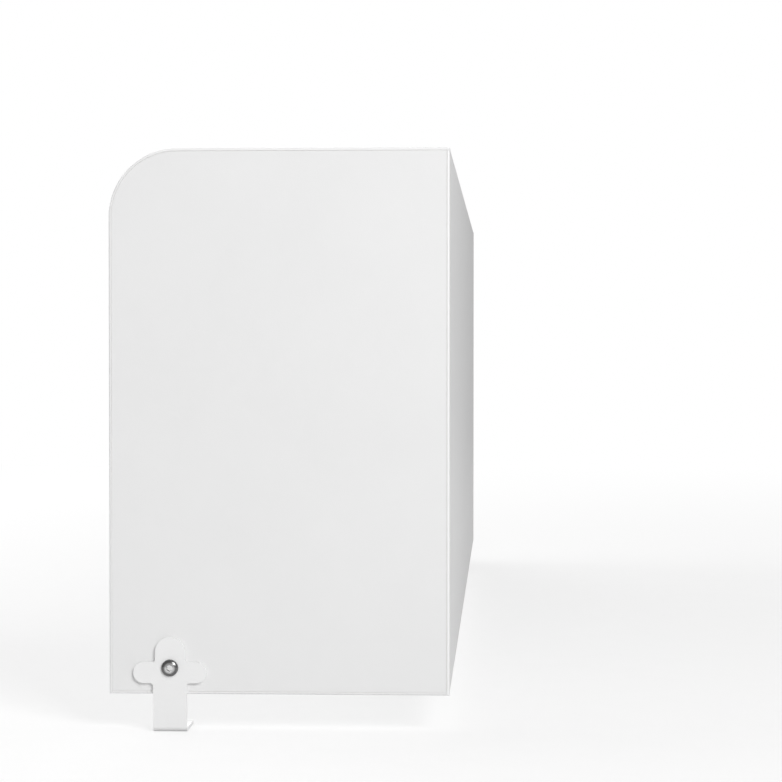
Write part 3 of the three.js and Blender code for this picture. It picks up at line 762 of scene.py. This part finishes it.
class Shader:
    """A material's node tree, with short calls to add and join nodes."""

    COLOUR_INPUTS = (6, 7)  # the Mix node's colour sockets, which share their names with its other sockets
    COLOUR_OUTPUT = 2

    def __init__(self, name):
        self.material = bpy.data.materials.new(name)
        self.material.use_nodes = True
        self.tree = self.material.node_tree
        self.surface = self.tree.nodes["Principled BSDF"]

    def feed(self, socket, value):
        """Joins an output to the socket, or sets the socket to a plain value."""
        if isinstance(value, bpy.types.NodeSocket):
            self.tree.links.new(value, socket)
        else:
            socket.default_value = value

    def add(self, kind, **inputs):
        """A new node with its inputs fed by name, where _ stands for a space."""
        node = self.tree.nodes.new(kind)
        for name, value in inputs.items():
            self.feed(node.inputs[name.replace("_", " ")], value)
        return node

    def set(self, name, value):
        """Feeds one of the surface's own inputs."""
        self.feed(self.surface.inputs[name], value)

    def place(self, output="Object"):
        """A texture coordinate: by default, the point's place in the object."""
        return self.tree.nodes.new("ShaderNodeTexCoord").outputs[output]

    def stretched(self, scale):
        """The point's place, scaled along each axis."""
        return self.add("ShaderNodeMapping", Vector=self.place(), Scale=scale).outputs["Vector"]

    def noise(self, scale, detail=2.0, roughness=0.5, vector=None):
        """A cloudy value from 0 to 1."""
        node = self.add("ShaderNodeTexNoise", Scale=scale, Detail=detail, Roughness=roughness)
        self.feed(node.inputs["Vector"], vector or self.place())
        return node.outputs["Fac"]

    def mapped(self, value, low, high, from_low=0.0, from_high=1.0, interpolation="LINEAR"):
        """A value moved from one range to another."""
        node = self.add("ShaderNodeMapRange", Value=value)
        node.interpolation_type = interpolation
        for socket, limit in zip(node.inputs[1:5], (from_low, from_high, low, high)):
            self.feed(socket, limit)
        return node.outputs["Result"]

    def mix(self, share, first, second):
        """Two colours, mixed by a share from 0 to 1."""
        node = self.tree.nodes.new("ShaderNodeMix")
        node.data_type = "RGBA"
        self.feed(node.inputs["Factor"], share)
        for socket, colour in zip(self.COLOUR_INPUTS, (first, second)):
            self.feed(node.inputs[socket], colour)
        return node.outputs[self.COLOUR_OUTPUT]

    def math(self, operation, *values):
        """A sum, product or other operation on plain values."""
        node = self.tree.nodes.new("ShaderNodeMath")
        node.operation = operation
        for socket, value in zip(node.inputs, values):
            self.feed(socket, value)
        return node.outputs["Value"]

    def facing(self, axis):
        """How squarely the surface faces along one of the object's own axes, from 0 to 1."""
        normal = self.add("ShaderNodeSeparateXYZ", Vector=self.place("Normal"))
        return self.math("ABSOLUTE", normal.outputs[axis])

    def bump(self, height, strength, distance, under=None):
        """A surface normal that follows a height."""
        node = self.add("ShaderNodeBump", Height=height, Strength=strength, Distance=distance)
        if under is not None:
            self.feed(node.inputs["Normal"], under)
        return node.outputs["Normal"]


def grey(level):
    """A neutral colour."""
    return (level, level, level, 1)


def chipboard(shader):
    """The raw core: pressed flakes in mixed straw colours, with fine dark gaps between them."""
    flakes = shader.add("ShaderNodeTexVoronoi", Vector=shader.place(), Scale=420)
    tone = shader.add("ShaderNodeSeparateColor", Color=flakes.outputs["Color"])
    fine = shader.noise(1800, detail=3)
    straw = shader.mix(tone.outputs["Red"], (0.50, 0.36, 0.21, 1), (0.74, 0.60, 0.41, 1))
    gaps = shader.mapped(fine, 0.0, 0.35)
    return shader.mix(gaps, straw, (0.34, 0.23, 0.13, 1))


def melamine(name, thickness_axis):
    """Pearl-grained white melamine on the two broad faces, and bare chipboard on every cut face."""
    shader = Shader(name)
    clouds = shader.noise(14, detail=4, roughness=0.6)
    white = shader.mix(clouds, grey(0.775), grey(0.805))
    broad = shader.math("GREATER_THAN", shader.facing(thickness_axis), BROAD_FACE)
    shader.set("Base Color", shader.mix(broad, chipboard(shader), white))
    sheen = shader.mapped(shader.noise(60, detail=3), 0.38, 0.50)
    rawness = shader.mapped(broad, 0.40, 0.0)
    shader.set("Roughness", shader.math("ADD", sheen, rawness))
    shader.set("Specular IOR Level", 0.45)
    grain = shader.noise(1300, detail=3, roughness=0.55)
    pearl = shader.bump(grain, strength=0.8, distance=0.06 * MM)
    waves = shader.noise(9, detail=1)
    shader.set("Normal", shader.bump(waves, strength=0.25, distance=0.6 * MM, under=pearl))
    return shader.material


def edge_band():
    """Plastic edge band: a shade lighter and smoother than the board."""
    shader = Shader("edge_band_plastic")
    shader.set("Base Color", shader.mix(shader.noise(40, detail=3), grey(0.81), grey(0.84)))
    shader.set("Roughness", shader.mapped(shader.noise(220), 0.30, 0.42))
    shader.set("Normal", shader.bump(shader.noise(2200), strength=0.25, distance=0.02 * MM))
    return shader.material


def powder_coat():
    """White powder coat with a fine orange-peel surface."""
    shader = Shader("white_powder_coat")
    shader.set("Base Color", shader.mix(shader.noise(3500), grey(0.81), grey(0.85)))
    shader.set("Roughness", shader.mapped(shader.noise(900), 0.36, 0.50))
    shader.set("Coat Weight", 0.12)
    shader.set("Coat Roughness", 0.25)
    peel = shader.noise(900, detail=1, roughness=0.4)
    shader.set("Normal", shader.bump(peel, strength=0.8, distance=0.08 * MM))
    return shader.material


def chrome():
    """Bright plated steel with a painted reflection: its colour is painted dark where it leans away from its
    axis, as if it mirrored the dark side of a room, and bright where it faces along it.
    """
    shader = Shader("chromed_steel")
    # Painted reflection: the base colour runs from dark where the surface leans away from the axis to bright
    # where it faces along it.
    painted_reflection = shader.mapped(shader.facing("Y"), 0.0, 1.0, from_low=0.93)
    shader.set("Base Color", shader.mix(painted_reflection, grey(0.18), grey(0.95)))
    shader.set("Metallic", 1.0)
    shader.set("Roughness", shader.mapped(shader.noise(1400, detail=3), 0.16, 0.26))
    shader.set("Normal", shader.bump(shader.noise(5000), strength=0.15, distance=0.01 * MM))
    return shader.material


def metal(name, tones, roughness, grain_scale, grain_depth):
    """A plain grey metal: mixed tones, uneven roughness and a fine cast or plated grain."""
    darkest, lightest = tones
    shader = Shader(name)
    clouds = shader.noise(grain_scale / 3, detail=3)
    shader.set("Base Color", shader.mix(clouds, grey(darkest), grey(lightest)))
    shader.set("Metallic", 1.0)
    shader.set("Roughness", shader.mapped(shader.noise(grain_scale), *roughness))
    grain = shader.noise(grain_scale * 2)
    shader.set("Normal", shader.bump(grain, strength=0.5, distance=grain_depth))
    return shader.material


def beech():
    """Turned beech with its grain along the dowel."""
    shader = Shader("beech")
    grain = shader.noise(900, detail=4, roughness=0.6, vector=shader.stretched((1, 0.08, 1)))
    shader.set("Base Color", shader.mix(grain, (0.50, 0.31, 0.17, 1), (0.74, 0.53, 0.33, 1)))
    shader.set("Roughness", 0.7)
    shader.set("Normal", shader.bump(grain, strength=0.4, distance=0.08 * MM))
    return shader.material


# ---------------------------------------------------------------- the object


def build_object():
    """Every piece, in its own material."""
    back_screen_board(melamine("melamine_back_screen", "X"))
    wing_face = melamine("melamine_wing", "Y")
    coat = powder_coat()
    plated = chrome()
    zinc = metal("cast_zinc", (0.38, 0.55), (0.32, 0.5), grain_scale=900, grain_depth=0.06 * MM)
    bright = metal("zinc_plated_steel", (0.45, 0.62), (0.25, 0.4), grain_scale=2500, grain_depth=0.02 * MM)
    wood = beech()
    build_bands(edge_band())
    for side, out in SIDES.items():
        wing_board(side, out, wing_face)
        bracket(side, out, coat)
        bracket_bolt(side, out, plated)
        sleeve_nut(side, out, plated)
        for level in LEVELS:
            cam(side, out, level, zinc)
            cam_bolt(side, out, level, bright)
            dowel(side, out, level, wood)


# ---------------------------------------------------------------- the studio


def floor():
    """A pale floor at the object's lowest point, which fades into the background with distance."""
    rim = [(x, y, CAD_BOX[0].z) for x, y in round_outline(FLOOR_RADIUS, FLOOR_STEPS)]
    piece = new_object("floor", rim, [tuple(range(FLOOR_STEPS))])
    shader = Shader("pale_floor")
    seen = shader.tree.nodes.new("ShaderNodeLightPath").outputs["Is Camera Ray"]
    pale = shader.mix(shader.noise(30, detail=3), grey(0.92), grey(0.95))
    shader.set("Base Color", shader.mix(seen, grey(0.75), pale))
    shader.set("Roughness", 0.9)
    distance = shader.tree.nodes.new("ShaderNodeVectorMath")
    distance.operation = "LENGTH"
    shader.feed(distance.inputs[0], shader.place())
    fade = shader.mapped(distance.outputs["Value"], FLOOR_GLOW, 1.0, *FLOOR_FADE, "SMOOTHSTEP")
    glow = shader.add("ShaderNodeEmission", Color=grey(1.0), Strength=1.0)
    blend = shader.tree.nodes.new("ShaderNodeMixShader")
    shader.feed(blend.inputs[0], shader.math("MULTIPLY", fade, seen))
    shader.feed(blend.inputs[1], shader.surface.outputs["BSDF"])
    shader.feed(blend.inputs[2], glow.outputs["Emission"])
    output = shader.tree.nodes["Material Output"]
    shader.feed(output.inputs["Surface"], blend.outputs["Shader"])
    piece.data.materials.append(shader.material)


def world():
    """Soft light from all round, and a plain white background where the camera looks straight at it."""
    studio = bpy.data.worlds.new("studio")
    studio.use_nodes = True
    tree = studio.node_tree
    ambient = tree.nodes["Background"]
    ambient.inputs["Color"].default_value = grey(1.0)
    ambient.inputs["Strength"].default_value = AMBIENT
    white = tree.nodes.new("ShaderNodeBackground")
    white.inputs["Color"].default_value = grey(1.0)
    white.inputs["Strength"].default_value = 1.0
    path = tree.nodes.new("ShaderNodeLightPath")
    chosen = tree.nodes.new("ShaderNodeMixShader")
    tree.links.new(path.outputs["Is Camera Ray"], chosen.inputs[0])
    tree.links.new(ambient.outputs["Background"], chosen.inputs[1])
    tree.links.new(white.outputs["Background"], chosen.inputs[2])
    tree.links.new(chosen.outputs["Shader"], tree.nodes["World Output"].inputs["Surface"])
    bpy.context.scene.world = studio


def softbox(name, place, width, power):
    """A square area light aimed at the object. The camera doesn't see it."""
    lamp = bpy.data.lights.new(name, "AREA")
    lamp.size = width
    lamp.energy = power
    holder = bpy.data.objects.new(name, lamp)
    holder.location = place
    target = (CAD_BOX[0] + CAD_BOX[1]) / 2
    holder.rotation_euler = (target - Vector(place)).to_track_quat("-Z", "Y").to_euler()
    holder.visible_camera = False
    bpy.context.scene.collection.objects.link(holder)


def lights():
    """A strong light at the camera's right, and three weaker, wider ones."""
    softbox("key", place=(1.5, -3.1, 1.8), width=1.4, power=74)
    softbox("overhead", place=(0.3, 0.2, 3.2), width=2.6, power=10)
    softbox("desk_side", place=(-2.8, 0.9, 1.7), width=3.0, power=46)
    softbox("far_end", place=(-1.0, 3.2, 1.7), width=2.0, power=30)


def camera():
    """The viewpoint of somebody at the desk's end, just past the rear face and above the desktop."""
    low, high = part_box("right_wing_front_band")
    spot = Vector((high.x + CAMERA_ASIDE, low.y - CAMERA_SETBACK, CAMERA_HEIGHT))
    wing_middle = Vector(((low.x + high.x) / 2, low.y, (CAD_BOX[0].z + high.z) / 2))
    straight_ahead = Vector((spot.x, low.y, spot.z))
    aim = (wing_middle + straight_ahead) / 2
    lens = bpy.data.cameras.new("camera")
    lens.lens = CAMERA_LENS
    lens.sensor_width = CAMERA_SENSOR
    eye = bpy.data.objects.new("camera", lens)
    eye.location = spot
    eye.rotation_euler = (aim - spot).to_track_quat("-Z", "Y").to_euler()
    bpy.context.scene.collection.objects.link(eye)
    bpy.context.scene.camera = eye


build_object()
floor()
world()
lights()
camera()
bpy.context.scene.view_settings.view_transform = "Standard"
